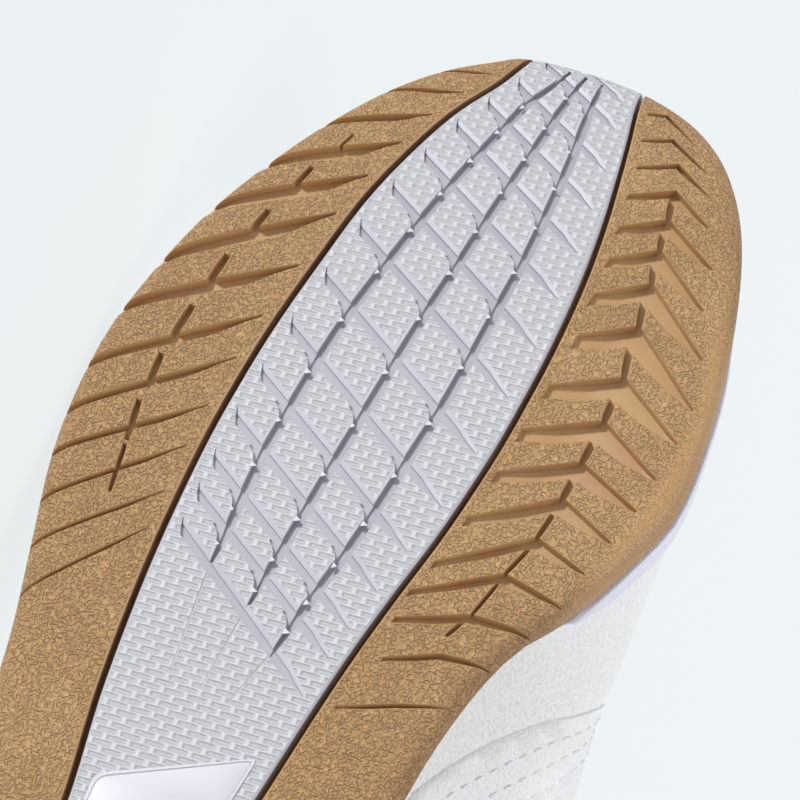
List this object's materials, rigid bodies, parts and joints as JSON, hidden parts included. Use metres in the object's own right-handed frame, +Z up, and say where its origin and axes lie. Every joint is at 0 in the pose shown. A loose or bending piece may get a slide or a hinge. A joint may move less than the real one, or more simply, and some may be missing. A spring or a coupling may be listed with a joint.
{
  "type": "indoor soccer shoe",
  "caption": "Right indoor soccer shoe with a gum rubber outsole, inlaid white tread strip, white midsole and laced white leather upper, lying on its lateral side.",
  "frame": {"origin": "middle of the bounding box, on the surface that the shoe lies on", "axes": "+X from toe to heel, +Y from the sole to the collar, +Z up from the lateral side that it lies on to the medial side"},
  "size_m": [0.2902, 0.119, 0.1101],
  "materials": {
    "gum_rubber": "satin, grained",
    "white_rubber": "satin, woven relief",
    "white_foam": "smooth moulded foam",
    "white_leather": "fine pebbled grain",
    "white_cloth": "knit",
    "insole_cloth": "brushed cloth",
    "lace_cloth": "flat woven"
  },
  "bodies": {
    "root": {"outsole_gum": "gum_rubber", "outsole_strip": "white_rubber", "midsole": "white_foam", "insole": "insole_cloth", "upper": "white_leather", "tongue": "white_cloth", "eyestay": "white_leather", "quarter_medial": "white_leather", "quarter_lateral": "white_leather", "heel_counter": "white_leather", "lace_crossing_1": "lace_cloth", "lace_crossing_2": "lace_cloth", "lace_crossing_3": "lace_cloth", "lace_crossing_4": "lace_cloth", "lace_crossing_5": "lace_cloth"}
  },
  "joints": []
}
